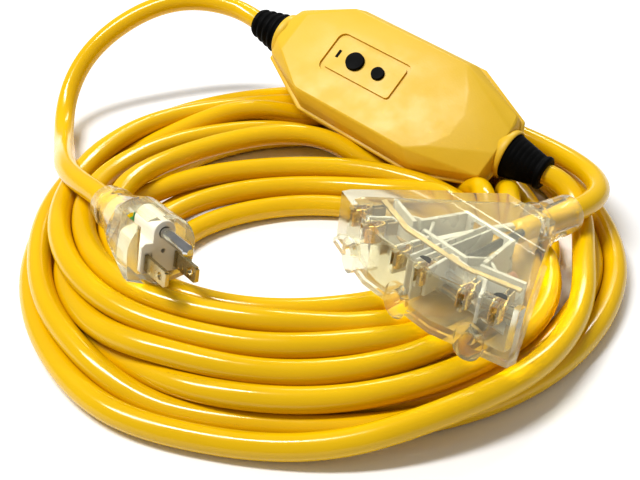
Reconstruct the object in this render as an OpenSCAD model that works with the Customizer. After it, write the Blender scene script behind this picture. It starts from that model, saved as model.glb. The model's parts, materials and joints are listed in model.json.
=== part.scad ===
// Coiled outdoor extension cord: a grounding plug, an in-line ground-fault
// module with reset and test buttons, a hand-wound coil and a triple outlet tap.
// Millimetres. The coil stands on z = 0.

/* [Cord] */
// outside diameter of the three-core jacket
cord_d = 10; // [8:0.1:12]
// outside radius of the wound coil on the floor
coil_r = 131; // [110:1:160]
// greatest height of the wound coil
coil_h = 35; // [22:1:48]

/* [Module] */
// length of the module housing, without its boots
mod_l = 136; // [110:1:160]
// width of the module housing over its rim
mod_w = 62; // [50:1:80]
// height of the upper shell above the parting plane
mod_up = 14; // [10:0.5:20]
// depth of the lower shell below the parting plane
mod_dn = 16; // [12:0.5:24]
// wall of both shells
mod_wall = 2.4; // [1.6:0.1:3.2]
// diameter of the reset button
reset_d = 9.2; // [7:0.1:11]
// diameter of the test button
test_d = 6.4; // [5:0.1:8]

/* [Tap] */
// thickness of the tap body
tap_t = 24; // [20:0.5:30]
// width of the middle outlet face
tap_mid = 36; // [32:0.5:42]
// width of each outer outlet face
tap_side = 31; // [28:0.5:40]
// angle between the middle and outer outlet faces
tap_turn = 18; // [10:1:40]

/* [Plug] */
// distance between the two flat blades
blade_gap = 12.7; // [12.6:0.05:12.8]
// length of the flat blades outside the face
blade_l = 17; // [15:0.5:18]
// diameter of the round grounding pin
pin_d = 4.76; // [4.6:0.02:4.9]
// length of the grounding pin outside the face
pin_l = 20.6; // [19:0.1:22]

/* [Show] */
// node to draw

/* [Hidden] */

$fn = 48;
cord_r = cord_d / 2;
bore_r = cord_r + 0.1;
wire_r = 1.9;
// moves the whole assembly so that its box is centred over the origin
row_shift = [4, -10.3, 0];

// where the three hard pieces lie: [x, y, z] and [roll, tip, turn]
mod_at = [35.5, 79.2, 37.6];
mod_rot = [35, 8.4, -39.2];
tap_at = [28.7, -72.6, 27];
tap_rot = [0, -6.5, 218.5];
plug_at = [-60, -57, 43];
plug_rot = [-15, -6, -54];

module in_module() { translate(mod_at) rotate(mod_rot) children(); }
module in_tap() { translate(tap_at) rotate(tap_rot) children(); }
module in_plug() { translate(plug_at) rotate(plug_rot) children(); }

function unit(v) = v / norm(v);
function dir_at(p, i) = i == 0 ? unit(p[1] - p[0])
  : i == len(p) - 1 ? unit(p[i] - p[i - 1]) : unit(p[i + 1] - p[i - 1]);
function ring(c, t, r, n) = let (s = unit(cross([0, 0.02, 1], t)), u = cross(t, s))
  [for (k = [0:n - 1]) c + r * (cos(360 * k / n) * s + sin(360 * k / n) * u)];

// a round tube swept along points, closed with flat ends
module tube(p, r, n = 10) {
  rings = [for (i = [0:len(p) - 1]) ring(p[i], dir_at(p, i), r, n)];
  pts = [for (g = rings) for (q = g) q];
  m = len(p);
  sides = [for (i = [0:m - 2]) for (k = [0:n - 1])
    let (a = i * n + k, b = i * n + (k + 1) % n)
    each [[a, b, b + n], [a, b + n, a + n]]];
  low = [for (k = [1:n - 2]) [0, k + 1, k]];
  top = [for (k = [1:n - 2]) let (o = (m - 1) * n) [o, o + k, o + k + 1]];
  faces = [for (f = concat(sides, low, top)) [f[2], f[1], f[0]]];
  polyhedron(points = pts, faces = faces);
}

// smooth a coarse route by cutting its corners, ends kept
function cut(p) = [p[0], for (i = [0:len(p) - 2])
  each [p[i] * 0.75 + p[i + 1] * 0.25, p[i] * 0.25 + p[i + 1] * 0.75], p[len(p) - 1]];

// ---- coil and leads ----

coil_profile = [[0, 0], [coil_r, 0], [coil_r, cord_d], [coil_r - 12, 19],
  [97, coil_h - 3], [82, coil_h], [66, coil_h - 9], [48, 13], [0, 11]];

module coil_cord() color([0.95, 0.72, 0.05]) difference() {
  rotate_extrude($fn = 96) polygon(coil_profile);
  for (x = [-18, 18]) translate([x, -19, -1]) cylinder(r = 43, h = 60);
  translate([-18, -62, -1]) cube([36, 86, 60]);
  in_tap() translate([-115, -60, -5]) cube([125, 120, 60]);
  in_module() translate([-mod_l / 2 - 30, -mod_w / 2 - 2, -mod_dn - 0.4])
    cube([mod_l + 60, mod_w + 4, 80]);
  in_plug() translate([-56, -20, -15.9]) cube([90, 40, 60]);
}

// a hard piece's own point v, where the piece lies
function out_of(at, rot, v) = at + turn(rot, v);
function turn(r, v) = spin_z(r[2], spin_y(r[1], spin_x(r[0], v)));
function spin_x(a, v) = [v[0], v[1] * cos(a) - v[2] * sin(a), v[1] * sin(a) + v[2] * cos(a)];
function spin_y(a, v) = [v[0] * cos(a) + v[2] * sin(a), v[1], v[2] * cos(a) - v[0] * sin(a)];
function spin_z(a, v) = [v[0] * cos(a) - v[1] * sin(a), v[0] * sin(a) + v[1] * cos(a), v[2]];

boot_l = 20;
mod_out = mod_l / 2;
// how far the cord's ends reach into the module
jack_in = 10;

// centrelines of the free stretches of cord, each from a moulding outwards
output_route = [out_of(mod_at, mod_rot, [mod_out - jack_in, 0, 0]),
  out_of(mod_at, mod_rot, [mod_out + boot_l, 0, 0]),
  out_of(mod_at, mod_rot, [mod_out + boot_l + 14, 0, -1]),
  [116, 4, 12], [114.5, -13, 6.5], [111, -32, 5.5]];
tap_route = [out_of(tap_at, tap_rot, [-78, 0, tap_t / 2]),
  out_of(tap_at, tap_rot, [-97, 0, tap_t / 2]),
  out_of(tap_at, tap_rot, [-114, 0, tap_t / 2]),
  [127, 24, 20], [122, 46, 18], [106, 66, 17], [86, 82, 15]];
plug_route = [out_of(plug_at, plug_rot, [-30, 0, 0]),
  out_of(plug_at, plug_rot, [-47, 0, 0]),
  out_of(plug_at, plug_rot, [-62, 0, 0]),
  [-110, 12, 32], [-121, 45, 22], [-131, 84, 8], [-135, 108, 13],
  [-126, 128, 32], [-100, 140, 50], [-72, 148, 57],
  out_of(mod_at, mod_rot, [-mod_out - boot_l - 14, 0, 1]),
  out_of(mod_at, mod_rot, [-mod_out - boot_l, 0, 0]),
  out_of(mod_at, mod_rot, [-mod_out + jack_in, 0, 0])];

module output_cord() color([0.95, 0.72, 0.05])
  tube(concat([output_route[0]], cut([for (i = [1:5]) output_route[i]])), cord_r);
module tap_cord() color([0.95, 0.72, 0.05])
  tube(concat([tap_route[0]], cut([for (i = [1:6]) tap_route[i]])), cord_r);
module plug_cord() color([0.95, 0.72, 0.05])
  tube(concat([plug_route[0]], cut([for (i = [1:11]) plug_route[i]]), [plug_route[12]]), cord_r);

// ---- plug: x out of the face, z towards the grounding pin ----

plug_len = 47;
pin_z = 7;
blade_z = pin_z - 11.9;
module plug_body() color([0.9, 0.9, 0.85, 0.5]) in_plug() difference() {
  union() {
    hull() {
      translate([-3, 0, -1]) rotate([0, 90, 0]) cylinder(d = 29, h = 3, $fn = 32);
      translate([-3, -13.5, -12]) cube([3, 27, 12]);
      translate([-20, 0, 0]) rotate([0, 90, 0]) cylinder(d = 27, h = 3, $fn = 32);
      translate([-34, 0, 0]) rotate([0, 90, 0]) cylinder(d = 18, h = 3, $fn = 32);
    }
    translate([-plug_len, 0, 0]) rotate([0, 90, 0]) cylinder(r = 8, h = 15);
    translate([-41, 0, 0]) rotate([0, 90, 0]) cylinder(r = 9.2, h = 3);
  }
  translate([-plug_len - 1, 0, 0]) rotate([0, 90, 0]) cylinder(r = bore_r, h = 24.2);
  translate([-24, -7.8, -7.6]) cube([9, 15.6, 16.6]);
  translate([-15.5, -9.6, -9.7]) cube([17, 19.2, 21.2]);
}

// white bridge that holds the blades, with a raised ring round the pin
module plug_blade_carrier() color([0.93, 0.91, 0.85]) in_plug() difference() {
  union() {
    translate([-15, -9.5, -9.6]) cube([16, 19, 21]);
    translate([0.9, 0, pin_z]) rotate([0, 90, 0]) cylinder(r = 4.2, h = 1.6);
  }
  for (s = [-1, 1]) translate([-16, s * blade_gap / 2 - 0.8, blade_z - 3.3])
    cube([20, 1.6, 6.6]);
  translate([-16, 0, pin_z]) rotate([0, 90, 0]) cylinder(d = pin_d + 0.1, h = 20);
  translate([-3, 0, -0.5]) rotate([0, 90, 0]) cylinder(d = 1.8, h = 6, $fn = 24);
}

module blade(s) in_plug() translate([0, s * blade_gap / 2, blade_z]) difference() {
  union() {
    translate([-15.4, -0.75, -3.175]) cube([14.4 + blade_l, 1.5, 6.35]);
    translate([blade_l - 1.2, -0.75, -2.5]) cube([1.2, 1.5, 5]);
    translate([-20, -1.4, -1.4]) cube([4.8, 2.8, 2.8]);
  }
  translate([blade_l - 4.5, -2, 0]) rotate([-90, 0, 0]) cylinder(d = 3.1, h = 4, $fn = 24);
}
module plug_line_blade() color([0.72, 0.6, 0.3]) blade(1);
module plug_neutral_blade() color([0.72, 0.6, 0.3]) blade(-1);

module plug_ground_pin() color([0.75, 0.75, 0.72]) in_plug() translate([0, 0, pin_z])
  rotate([0, 90, 0]) {
    translate([0, 0, -14.5]) cylinder(d = pin_d - 0.4, h = 17.5);
    translate([0, 0, 2.6]) cylinder(d = pin_d, h = pin_l - 4.2);
    translate([0, 0, pin_l - 1.6]) cylinder(d1 = pin_d, d2 = 2.6, h = 1.6);
    translate([0, 0, -20]) cylinder(r = 1.7, h = 5.6);
  }

module plug_wire(e) in_plug() tube([[-29.5, e[0], e[1]], [-23, e[0], e[1]],
  [-21.4, e[2], e[3]], [-20.1, e[2], e[3]]], 1.3, 8);
module plug_line_wire() color([0.08, 0.08, 0.08]) plug_wire([1.7, -1.2, 6.1, blade_z]);
module plug_neutral_wire() color([0.92, 0.92, 0.9]) plug_wire([-1.7, -1.2, -6.1, blade_z]);
module plug_ground_wire() color([0.1, 0.45, 0.2]) plug_wire([0, 1.9, 0, pin_z]);

// ---- ground-fault module: x towards the outlet end, z out of the button face ----

// plan of the housing, drawn in by e
function plan(e) = let (h = mod_l / 2 - e, w = mod_w / 2 - e)
  [[-h, -15 + e / 2], [-h + 31, -w], [h - 33, -w], [h - 3, -15 + e / 2],
   [h, -11], [h, 11], [h - 33, w], [-h + 31, w], [-h, 15 - e / 2]];

module slab(e, z, t) translate([0, 0, z]) linear_extrude(t) polygon(plan(e));

// room for the boots' necks and their inner flanges
module boot_gap(r) for (s = [-1, 1]) translate([s * (mod_out - 10), 0, 0])
  rotate([0, s * 90, 0]) {
    cylinder(r = r, h = 20);
    translate([0, 0, -1.2]) cylinder(r = r + 1, h = 2.4);
  }

post_xy = [[-40, 18.8], [-40, -18.8], [30, 20.5], [30, -20.5]];

module gfci_top_shell() color([0.96, 0.78, 0.2]) in_module() difference() {
  union() {
    difference() {
      union() {
        hull() {
          slab(1.5, 0.5, 1.5);
          slab(2.4, 7.5, 0.5);
          translate([0, 0, mod_up - 0.5]) linear_extrude(0.5)
            polygon([[-58, -12], [-38, -26], [28, -26], [38, -20], [46, -8],
              [46, 8], [34, 25], [-37, 25], [-58, 11]]);
        }
        slab(0, 0.5, 2);
      }
      hull() {
        slab(mod_wall + 1.5, 0, 1);
        slab(mod_wall + 2.4, 5.5, 0.5);
        translate([0, 0, mod_up - mod_wall - 0.5]) linear_extrude(0.5)
          polygon([[-51, -10], [-36, -23], [26, -23], [34, -18], [41, -7],
            [41, 7], [31, 22], [-35, 22], [-51, 9]]);
      }
    }
    for (q = post_xy) translate([q[0], q[1], -2.8]) cylinder(d = 6, h = mod_up + 0.8);
  }
  for (q = post_xy) translate([q[0], q[1], -4]) cylinder(d = 3.2, h = 7);
  translate([-19, 0, 5]) cylinder(d = reset_d + 0.5, h = 15);
  translate([-5, 0, 5]) cylinder(d = test_d + 0.5, h = 15);
  translate([-30.2, -2.2, 5]) cube([1.6, 4.4, 15]);
  boot_gap(8.4);
  panel_groove();
}

// shallow groove round the button panel
module panel_groove() translate([-13.5, 0, mod_up - 0.7]) difference() {
  linear_extrude(2) square([42.4, 21.4], center = true);
  translate([0, 0, -1]) linear_extrude(4) square([38.8, 17.8], center = true);
}

module gfci_bottom_shell() color([0.96, 0.78, 0.2]) in_module() difference() {
  union() {
    difference() {
      union() {
        hull() {
          slab(1.5, -2, 1.5);
          slab(6.5, -mod_dn, 0.6);
        }
        slab(0, -2.5, 2);
      }
      hull() {
        slab(mod_wall + 1.5, -1.5, 1.5);
        slab(mod_wall + 6, -mod_dn + mod_wall, 0.5);
      }
    }
    for (q = post_xy) translate([q[0], q[1], -mod_dn + 1]) cylinder(d = 6, h = mod_dn - 4);
    for (q = [[-30, 17], [-30, -17], [42, 14], [42, -14]])
      translate([q[0], q[1], -mod_dn + 1]) cylinder(d = 4, h = mod_dn - 2.4);
  }
  for (q = post_xy) translate([q[0], q[1], -mod_dn - 1]) {
    cylinder(d = 3.2, h = mod_dn);
    cylinder(d = 6.2, h = 2.4);
  }
  boot_gap(8.4);
}

module gfci_gasket() color([0.15, 0.15, 0.15]) in_module() difference() {
  slab(2.2, -0.45, 0.9);
  slab(mod_wall + 1.3, -1, 2);
  boot_gap(8.6);
}

module gfci_screws() color([0.7, 0.7, 0.72]) in_module() for (q = post_xy)
  translate([q[0], q[1], -mod_dn]) difference() {
    union() {
      cylinder(d = 5.6, h = 1.3);
      translate([0, 0, 1.3]) cylinder(d = 2.9, h = mod_dn);
    }
    translate([-2, -0.35, -1]) cube([4, 0.7, 1.6]);
    translate([-0.35, -2, -1]) cube([0.7, 4, 1.6]);
  }

// black strain relief: a neck held by the shells, then a ribbed taper
boot_shape = [[bore_r, -11], [9.2, -11], [9.2, -9], [8.1, -9], [8.1, 0.6],
  [10.8, 0.6], [10.8, 3], [9.8, 3], [9.8, 4.6], [10.3, 4.6], [10.3, 7], [9.2, 7],
  [9.2, 8.6], [9.7, 8.6], [9.7, 11], [8.5, 11], [8.5, 12.6], [9, 12.6],
  [9, 15], [7.8, 15], [7.8, 16.6], [8.3, 16.6], [8.3, 19], [7.4, 20], [bore_r, 20]];
module boot(s) in_module() translate([s * mod_out, 0, 0]) rotate([0, s * 90, 0])
  rotate_extrude() polygon(boot_shape);
module inlet_boot() color([0.05, 0.05, 0.05]) boot(-1);
module outlet_boot() color([0.05, 0.05, 0.05]) boot(1);

cap_z = mod_up - 3.8;
module reset_button() color([0.04, 0.04, 0.04]) in_module() translate([-19, 0, cap_z]) {
  cylinder(d = reset_d, h = 5.5);
  cylinder(d = reset_d + 3, h = 1.3);
}
module reset_stem() color([0.75, 0.75, 0.77]) in_module() translate([-19, 0, -2.2]) {
  translate([0, 0, 0.8]) cylinder(d = 2, h = cap_z + 1.4, $fn = 24);
  cylinder(d = 2.5, h = 0.8, $fn = 24);
}
module test_button() color([0.04, 0.04, 0.04]) in_module() translate([-5, 0, cap_z]) {
  cylinder(d = test_d, h = 5.3);
  cylinder(d = test_d + 2.4, h = 1.3);
  translate([0, 0, 4 - cap_z]) cylinder(d = 2.2, h = cap_z - 4 + 0.1, $fn = 24);
}

// a spring's wire rings, joined by a thin sleeve
module spring(d, z0, z1, turns) rotate_extrude($fn = 36) {
  s = (z1 - z0) / turns;
  for (i = [0:turns - 1]) translate([d / 2, z0 + s * (i + 0.5)])
    square([0.7, s * 0.6], center = true);
  translate([d / 2 - 0.15, z0]) square([0.3, z1 - z0]);
}
module reset_spring() color([0.8, 0.8, 0.82]) in_module() translate([-19, 0, 0])
  spring(6.2, 0.4, cap_z - 0.1, 6);
module test_spring() color([0.8, 0.8, 0.82]) in_module() translate([-5, 0, 0])
  spring(4.4, 2.4, cap_z - 0.1, 6);
module plunger_spring() color([0.8, 0.8, 0.82]) in_module() translate([-23.9, 0, -7.4])
  rotate([0, 90, 0]) spring(5, 0, 6.2, 4);

// springy strip under the test button, on two feet
module test_contact_strip() color([0.85, 0.65, 0.3]) in_module() {
  translate([-9, -2.7, 1.9]) cube([8, 5.4, 0.4]);
  translate([-9, -2.7, 0.4]) cube([0.5, 5.4, 1.6]);
  translate([-1.5, -2.7, 0.4]) cube([0.5, 5.4, 1.6]);
}

module led_lens() color([0.05, 0.05, 0.05]) in_module()
  translate([-30.1, -2.1, mod_up - 2.3]) cube([1.4, 4.2, 2.4]);
module led() color([0.8, 0.1, 0.1]) in_module() translate([-29.4, 0, 0.4]) {
  cylinder(d = 3, h = 8.5, $fn = 24);
  cylinder(d = 3.8, h = 1, $fn = 24);
}

// board with windows for the cores, the carrier, the stem and the boots
module circuit_board() color([0.1, 0.35, 0.16]) in_module() difference() {
  translate([0, 0, -1.3]) linear_extrude(1.6) polygon([[-52, -17], [-42, -21],
    [34, -21], [52, -13], [52, 13], [34, 21], [-42, 21], [-52, 17]]);
  translate([21, -11, -3]) cube([19, 22, 5]);
  translate([-19, 0, -3]) cylinder(d = 4.4, h = 5, $fn = 24);
  for (s = [-1, 1]) translate([-16, s * 15 - 3, -3]) cube([6, 6, 5]);
  for (s = [-1, 1]) translate([s * 54 - 9, -10.8, -3]) cube([18, 21.6, 5]);
  for (q = post_xy) translate([q[0], q[1], -3]) cylinder(d = 7, h = 5, $fn = 24);
}

module core(x, w) in_module() translate([x, 0, 1.2]) rotate([0, 90, 0]) difference() {
  cylinder(r = 9.6, h = w);
  translate([0, 0, -1]) cylinder(r = 4.9, h = w + 2);
}
module sense_core() color([0.5, 0.25, 0.1]) core(22, 7);
module neutral_core() color([0.2, 0.2, 0.45]) core(31, 7);

// the solenoid lies below the board, pulling along x
module solenoid_bobbin() color([0.85, 0.85, 0.8]) in_module() translate([-16, 0, -7.4])
  rotate([0, 90, 0]) difference() {
    union() {
      cylinder(r = 3.2, h = 20);
      cylinder(r = 5.2, h = 1.2);
      translate([0, 0, 18.8]) cylinder(r = 5.2, h = 1.2);
    }
    translate([0, 0, -1]) cylinder(r = 2.2, h = 22);
  }
module solenoid_winding() color([0.7, 0.35, 0.12]) in_module() translate([-14.7, 0, -7.4])
  rotate([0, 90, 0]) difference() {
    cylinder(r = 4.9, h = 17.4);
    translate([0, 0, -1]) cylinder(r = 3.3, h = 20);
  }
module solenoid_frame() color([0.7, 0.7, 0.72]) in_module() difference() {
  translate([-17.6, -6.6, -13.3]) cube([23.2, 13.2, 11.6]);
  translate([-16.1, -8, -12.7]) cube([20.2, 16, 14]);
  translate([-20, 0, -7.4]) rotate([0, 90, 0]) cylinder(r = 2.3, h = 30);
}
module solenoid_plunger() color([0.6, 0.6, 0.62]) in_module() translate([-25.2, 0, -7.4])
  rotate([0, 90, 0]) {
    cylinder(r = 3.4, h = 1.2);
    translate([0, 0, 1.2]) cylinder(r = 1.9, h = 22);
  }

// plastic bridge over the board that carries both moving contact arms
module contact_carrier() color([0.85, 0.4, 0.1]) in_module() {
  translate([-15.2, -17, 2.6]) cube([4.4, 34, 1]);
  for (s = [-1, 1]) translate([-15.2, s * 15 - 2, -4.4]) cube([4.4, 4, 7.1]);
}
module contact_arm(s) in_module() {
  translate([-18, s * 15 - 1.5, -5.1]) cube([18, 3, 0.7]);
  translate([-1.6, s * 15, -5.8]) cylinder(r = 1.4, h = 0.8, $fn = 24);
}
module line_contact_arm() color([0.85, 0.6, 0.25]) contact_arm(1);
module neutral_contact_arm() color([0.85, 0.6, 0.25]) contact_arm(-1);
module fixed_contact(s) in_module() {
  translate([-5, s * 15 - 2, -10.2]) cube([17, 4, 0.8]);
  translate([11.2, s * 15 - 2, -10.2]) cube([0.8, 4, 8.8]);
  translate([-1.6, s * 15, -9.5]) cylinder(r = 1.4, h = 1.6, $fn = 24);
}
module line_fixed_contact() color([0.85, 0.6, 0.25]) fixed_contact(1);
module neutral_fixed_contact() color([0.85, 0.6, 0.25]) fixed_contact(-1);

module varistor() color([0.1, 0.25, 0.6]) in_module() translate([8, 15, 5.7])
  rotate([90, 0, 0]) cylinder(r = 5.2, h = 3.4);
module capacitor() color([0.15, 0.15, 0.2]) in_module() translate([7, -14, 0.4])
  cylinder(r = 4.2, h = 9);
module control_chip() color([0.06, 0.06, 0.06]) in_module() translate([3, -4, 0.4])
  cube([9, 7, 1.8]);
module resistors() color([0.7, 0.55, 0.35]) in_module() for (y = [-16, -12.8, 12.8, 16])
  translate([-32, y, 1.6]) rotate([0, 90, 0]) cylinder(r = 1.1, h = 7, $fn = 24);

module mod_wire(p) in_module() tube(p, wire_r, 8);
module inlet_line_wire() color([0.08, 0.08, 0.08]) mod_wire([[-57.2, 2.2, 1.2],
  [-54, 2.8, 1.8], [-48, 7, 2.6], [-42, 8.4, 2.4], [-26, 8.4, 2.4]]);
module inlet_neutral_wire() color([0.9, 0.9, 0.88]) mod_wire([[-57.2, -2.2, 1.2],
  [-54, -2.8, 1.8], [-48, -7, 2.6], [-42, -8.4, 2.4], [-26, -8.4, 2.4]]);
module ground_wire() color([0.1, 0.45, 0.2]) mod_wire([[-57.2, 0, -2.6], [-54, -0.6, -3.4],
  [-45, -8, -8.6], [-30, -10.4, -9.6], [6, -10.4, -9.6], [20, -9.4, -11],
  [38, -6.5, -11], [48, -2, -8], [54, -0.6, -3.4], [57.2, 0, -2.6]]);
module outlet_line_wire() color([0.08, 0.08, 0.08]) mod_wire([[15, 7.4, 2.4],
  [18, 4.4, 2.4], [21.5, 2.2, 2.4], [44, 2.2, 2.4], [50, 2.2, 1.4], [57.2, 2.2, 1.2]]);
module outlet_neutral_wire() color([0.9, 0.9, 0.88]) mod_wire([[15, -7.4, 2.4],
  [18, -4.4, 2.4], [21.5, -2.2, 2.4], [44, -2.2, 2.4], [50, -2.2, 1.4], [57.2, -2.2, 1.2]]);

// ---- triple tap: x out of the middle outlet face, z up ----

side_x = tap_side * sin(tap_turn);
side_y = tap_side * cos(tap_turn);
slot_z = tap_t - 6.6;
gnd_z = slot_z - 11.9;

// plan of the fan-shaped body, grown by e
function fan(e) = let (a = tap_mid / 2, b = tap_mid / 2 + side_y)
  [[e, -a - e / 4], [e, a + e / 4], [-side_x + e, b + e / 2], [-side_x - 4, b - 0.6 + e],
   [-70, 13 + e], [-70, -13 - e], [-side_x - 4, -b + 0.6 - e], [-side_x + e, -b - e / 2]];

// places children at outlet face k of -1, 0, 1 with x out of the face
module at_face(k) translate([k == 0 ? 0 : -side_x / 2,
  k * (tap_mid / 2 + side_y / 2), 0]) rotate([0, 0, k * tap_turn]) children();

// two blade slots and a round hole in each face
module outlet_holes() for (k = [-1, 0, 1]) at_face(k) {
  for (s = [-1, 1]) translate([-10, s * blade_gap / 2 - 1.1, slot_z - 3.8])
    cube([14, 2.2, 7.6]);
  translate([-10, 0, gnd_z]) rotate([0, 90, 0]) cylinder(r = 2.6, h = 14);
}

// raised boss that hangs below the edge round each ground hole
module ground_boss() {
  translate([-8, 0, gnd_z]) rotate([0, 90, 0]) cylinder(r = 5.6, h = 9.6);
  translate([-8, 0, gnd_z - 4]) rotate([0, 90, 0]) cylinder(r = 5.6, h = 9.6);
  translate([-8, -5.6, gnd_z - 4]) cube([9.6, 11.2, 4]);
}

module tap_body() color([0.9, 0.9, 0.86, 0.5]) in_tap() difference() {
  union() {
    difference() {
      linear_extrude(tap_t) polygon(fan(0));
      translate([-100, -60, tap_t - 1]) cube([52, 120, 5]);
    }
    linear_extrude(2.4) polygon(fan(1.2));
    for (k = [-1, 0, 1]) at_face(k) ground_boss();
    translate([-76, 0, tap_t / 2]) rotate([0, 90, 0]) cylinder(r = 10.6, h = 12);
    translate([-97, 0, tap_t / 2]) rotate([0, 90, 0]) cylinder(r1 = 8.4, r2 = 9.4, h = 22);
  }
  translate([-100, 0, tap_t / 2]) rotate([0, 90, 0]) cylinder(r = bore_r, h = 27);
  translate([0, 0, 2.2]) linear_extrude(tap_t - 5.4) polygon(cavity);
  outlet_holes();
}
cavity = [[-3.4, -15], [-3.4, 15], [-12.6, 43], [-17, 42.6], [-66, 9.6],
  [-74, 6], [-74, -6], [-66, -9.6], [-17, -42.6], [-12.6, -43]];
top_in = tap_t - 3.3;

// ribbed inner frame that parts the chambers, with cradles for the lamp and resistor
module tap_inner_frame() color([0.93, 0.92, 0.88, 0.8]) in_tap() difference() {
  union() {
    for (s = [-1, 1]) translate([-46, s * 12, 2.3]) rotate([0, 0, s * 14])
      translate([0, -0.8, 0]) cube([22, 1.6, top_in - 2.3]);
    translate([-46.8, -13, 2.3]) cube([1.6, 26, top_in - 2.3]);
    for (k = [-1, 1]) at_face(k) translate([-22, -9, 2.3]) cube([1.6, 18, top_in - 2.3]);
    translate([-22, -11.5, 2.3]) cube([1.6, 23, top_in - 2.3]);
    for (s = [-1, 1]) translate([-40, s * 20 - 1.6, 2.3]) cube([9, 3.2, 6.6]);
    translate([0, 0, 2.3]) linear_extrude(0.9)
      polygon([[-20, -36], [-20, 36], [-46, 19], [-46, -19]]);
  }
  translate([-50, -8.5, 5]) cube([10, 17, 14]);
  for (s = [-1, 1]) translate([-24, s * 8.4 - 2.4, 11]) cube([6, 4.8, 9]);
  translate([-24, -2.4, 6.5]) cube([6, 4.8, 6]);
}

// a pair of leaves that grips a flat blade, joined at the back, from z low to z top
module clip(k, s, low, top) at_face(k) translate([-15.4, s * blade_gap / 2, low]) {
  for (q = [-1, 1]) translate([0, q * 1.1 - 0.2, 0]) cube([5.2, 0.4, top - low]);
  translate([0, -1.3, 0]) cube([0.5, 2.6, top - low]);
}
// flat strip that runs behind all three faces at height z
module strip(z) for (k = [-1, 0, 1]) at_face(k) translate([-17.2,
  k == 0 ? -15.6 : k > 0 ? -12.8 : -9.4, z]) cube([2.4, k == 0 ? 31.2 : 22.2, 0.8]);

module tap_line_bus() color([0.75, 0.62, 0.3]) in_tap() {
  for (k = [-1, 0, 1]) clip(k, 1, slot_z - 2.8, slot_z + 2.9);
  strip(slot_z + 2.5);
  translate([-18.2, 6.4, slot_z - 2]) cube([1.2, 4, 5.2]);
}
module tap_neutral_bus() color([0.75, 0.72, 0.6]) in_tap() {
  for (k = [-1, 0, 1]) clip(k, -1, slot_z - 3.7, slot_z + 2.2);
  strip(slot_z - 3.9);
  translate([-18.2, -10.4, slot_z - 3.9]) cube([1.2, 4, 5.4]);
}
module tap_ground_bus() color([0.75, 0.62, 0.3]) in_tap() {
  for (k = [-1, 0, 1]) at_face(k) {
    translate([-15, 0, gnd_z]) rotate([0, 90, 0]) difference() {
      cylinder(r = 3.1, h = 5);
      translate([0, 0, -1]) cylinder(r = 2.6, h = 7);
    }
    translate([-16.6, -1.2, gnd_z - 1]) cube([1.8, 2.4, 4.8]);
  }
  strip(gnd_z + 3.2);
  translate([-18.2, -2, gnd_z + 2]) cube([1.2, 4, 3.4]);
}

module tap_lamp() color([0.9, 0.55, 0.2]) in_tap() translate([-40, 20, 11.1])
  rotate([0, 90, 0]) cylinder(r = 2.1, h = 9);
module tap_lamp_resistor() color([0.7, 0.55, 0.35]) in_tap() translate([-39, -20, 10.2])
  rotate([0, 90, 0]) cylinder(r = 1.2, h = 7, $fn = 24);

mid_z = tap_t / 2;
module tap_line_wire() color([0.08, 0.08, 0.08]) in_tap() tube([[-77.2, 2.2, mid_z + 1.2],
  [-66, 2.4, mid_z + 1.4], [-50, 4.6, mid_z + 2.6], [-36, 7.4, mid_z + 4],
  [-26, 8.4, slot_z - 1], [-18.3, 8.4, slot_z - 1]], 1.8, 8);
module tap_neutral_wire() color([0.92, 0.92, 0.9]) in_tap() tube([[-77.2, -2.2, mid_z + 1.2],
  [-66, -2.4, mid_z + 1.4], [-50, -4.6, mid_z + 2.2], [-36, -7.4, mid_z + 2.6],
  [-26, -8.4, slot_z - 2], [-18.3, -8.4, slot_z - 2]], 1.8, 8);
module tap_ground_wire() color([0.1, 0.45, 0.2]) in_tap() tube([[-77.2, 0, mid_z - 2.6],
  [-66, 0, mid_z - 2.8], [-50, 0, mid_z - 3], [-26, 0, gnd_z + 4],
  [-18.3, 0, gnd_z + 4]], 1.8, 8);

translate(row_shift) coil_cord();
translate(row_shift) output_cord();
translate(row_shift) tap_cord();
translate(row_shift) plug_cord();
translate(row_shift) plug_body();
translate(row_shift) plug_blade_carrier();
translate(row_shift) plug_line_blade();
translate(row_shift) plug_neutral_blade();
translate(row_shift) plug_ground_pin();
translate(row_shift) plug_line_wire();
translate(row_shift) plug_neutral_wire();
translate(row_shift) plug_ground_wire();
translate(row_shift) gfci_top_shell();
translate(row_shift) gfci_bottom_shell();
translate(row_shift) gfci_gasket();
translate(row_shift) gfci_screws();
translate(row_shift) inlet_boot();
translate(row_shift) outlet_boot();
translate(row_shift) reset_button();
translate(row_shift) reset_stem();
translate(row_shift) reset_spring();
translate(row_shift) plunger_spring();
translate(row_shift) test_button();
translate(row_shift) test_spring();
translate(row_shift) test_contact_strip();
translate(row_shift) led_lens();
translate(row_shift) led();
translate(row_shift) circuit_board();
translate(row_shift) sense_core();
translate(row_shift) neutral_core();
translate(row_shift) solenoid_bobbin();
translate(row_shift) solenoid_winding();
translate(row_shift) solenoid_frame();
translate(row_shift) solenoid_plunger();
translate(row_shift) contact_carrier();
translate(row_shift) line_contact_arm();
translate(row_shift) neutral_contact_arm();
translate(row_shift) line_fixed_contact();
translate(row_shift) neutral_fixed_contact();
translate(row_shift) varistor();
translate(row_shift) capacitor();
translate(row_shift) control_chip();
translate(row_shift) resistors();
translate(row_shift) inlet_line_wire();
translate(row_shift) inlet_neutral_wire();
translate(row_shift) ground_wire();
translate(row_shift) outlet_line_wire();
translate(row_shift) outlet_neutral_wire();
translate(row_shift) tap_body();
translate(row_shift) tap_inner_frame();
translate(row_shift) tap_line_bus();
translate(row_shift) tap_neutral_bus();
translate(row_shift) tap_ground_bus();
translate(row_shift) tap_lamp();
translate(row_shift) tap_lamp_resistor();
translate(row_shift) tap_line_wire();
translate(row_shift) tap_neutral_wire();
translate(row_shift) tap_ground_wire();
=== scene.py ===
import json
import math

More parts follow.
